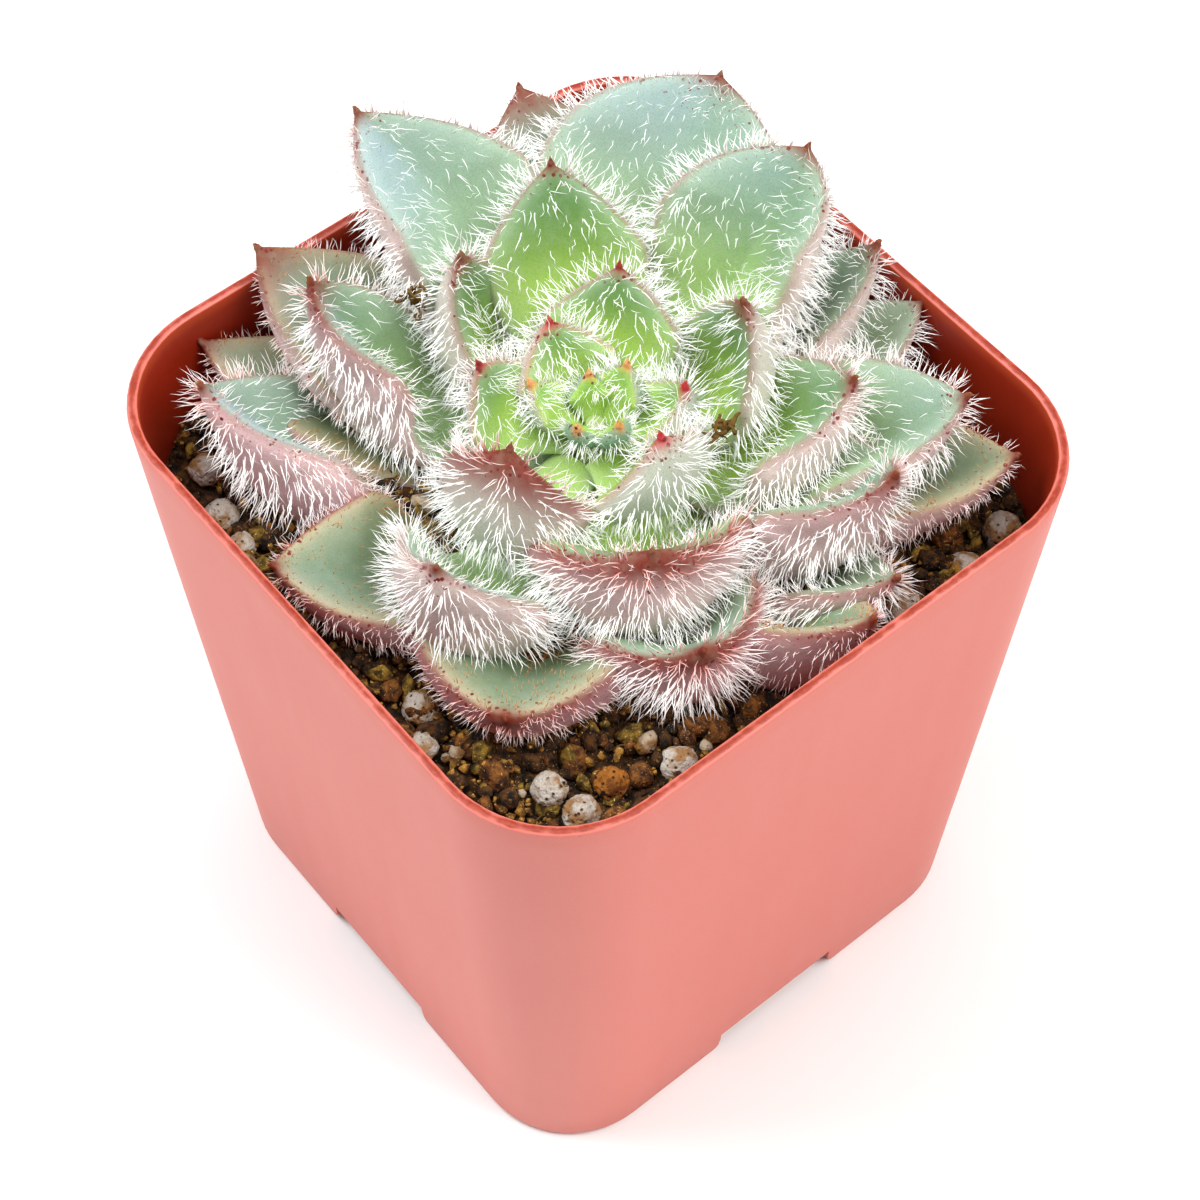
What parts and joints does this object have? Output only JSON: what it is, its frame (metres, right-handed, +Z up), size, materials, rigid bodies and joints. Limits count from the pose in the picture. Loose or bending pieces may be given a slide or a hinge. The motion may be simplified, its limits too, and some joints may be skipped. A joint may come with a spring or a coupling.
{
  "type": "potted succulent",
  "caption": "Hairy rosette succulent with thick cupped leaves, growing in a small tapered square plastic pot with rounded corners and raised corner feet.",
  "frame": {"origin": "middle of the pot's footprint, on the surface that it stands on", "axes": "+Z up along the stem, X and Y square to the pot's four sides"},
  "size_m": [0.057, 0.057, 0.0744],
  "materials": {
    "pot": "thin salmon-pink moulded plastic, matt outside, redder and slightly glossy inside and on the rim",
    "soil": "dark crumbly potting mix with ochre and mossy crumbs",
    "stem": "short fleshy green-brown stem",
    "leaf_inner": "bright yellow-green, soft satin, under white hairs",
    "leaf_middle": "blue-green with a pale bloom, crimson tips, mauve underneath, under white hairs",
    "leaf_outer": "grey-green with red-brown dotted edges and purple-brown undersides",
    "pumice": "chalky white stone with brown pits",
    "ochre_grit": "rough burnt-orange clay grain"
  },
  "bodies": {
    "root": {"pot": "pot", "soil": "soil", "stem": "stem", "leaf_01": "leaf_inner", "leaf_02": "leaf_inner", "leaf_03": "leaf_inner", "leaf_04": "leaf_inner", "leaf_05": "leaf_inner", "leaf_06": "leaf_inner", "leaf_07": "leaf_inner", "leaf_08": "leaf_inner", "leaf_09": "leaf_inner", "leaf_10": "leaf_inner", "leaf_11": "leaf_middle", "leaf_12": "leaf_middle", "leaf_13": "leaf_middle", "leaf_14": "leaf_middle", "leaf_15": "leaf_middle", "leaf_16": "leaf_middle", "leaf_17": "leaf_middle", "leaf_18": "leaf_middle", "leaf_19": "leaf_middle", "leaf_20": "leaf_middle", "leaf_21": "leaf_middle", "leaf_22": "leaf_middle", "leaf_23": "leaf_middle", "leaf_24": "leaf_middle", "leaf_25": "leaf_middle", "leaf_26": "leaf_middle", "leaf_27": "leaf_outer", "leaf_28": "leaf_outer", "leaf_29": "leaf_outer", "leaf_30": "leaf_outer", "leaf_31": "leaf_outer", "leaf_32": "leaf_outer", "leaf_33": "leaf_outer", "leaf_34": "leaf_outer", "leaf_35": "leaf_outer", "granule_01": "pumice", "granule_02": "pumice", "granule_03": "pumice", "granule_04": "pumice", "granule_05": "pumice", "granule_06": "pumice", "granule_07": "pumice", "granule_08": "pumice", "granule_09": "pumice", "granule_10": "pumice", "granule_11": "pumice", "granule_12": "ochre_grit"}
  },
  "joints": []
}
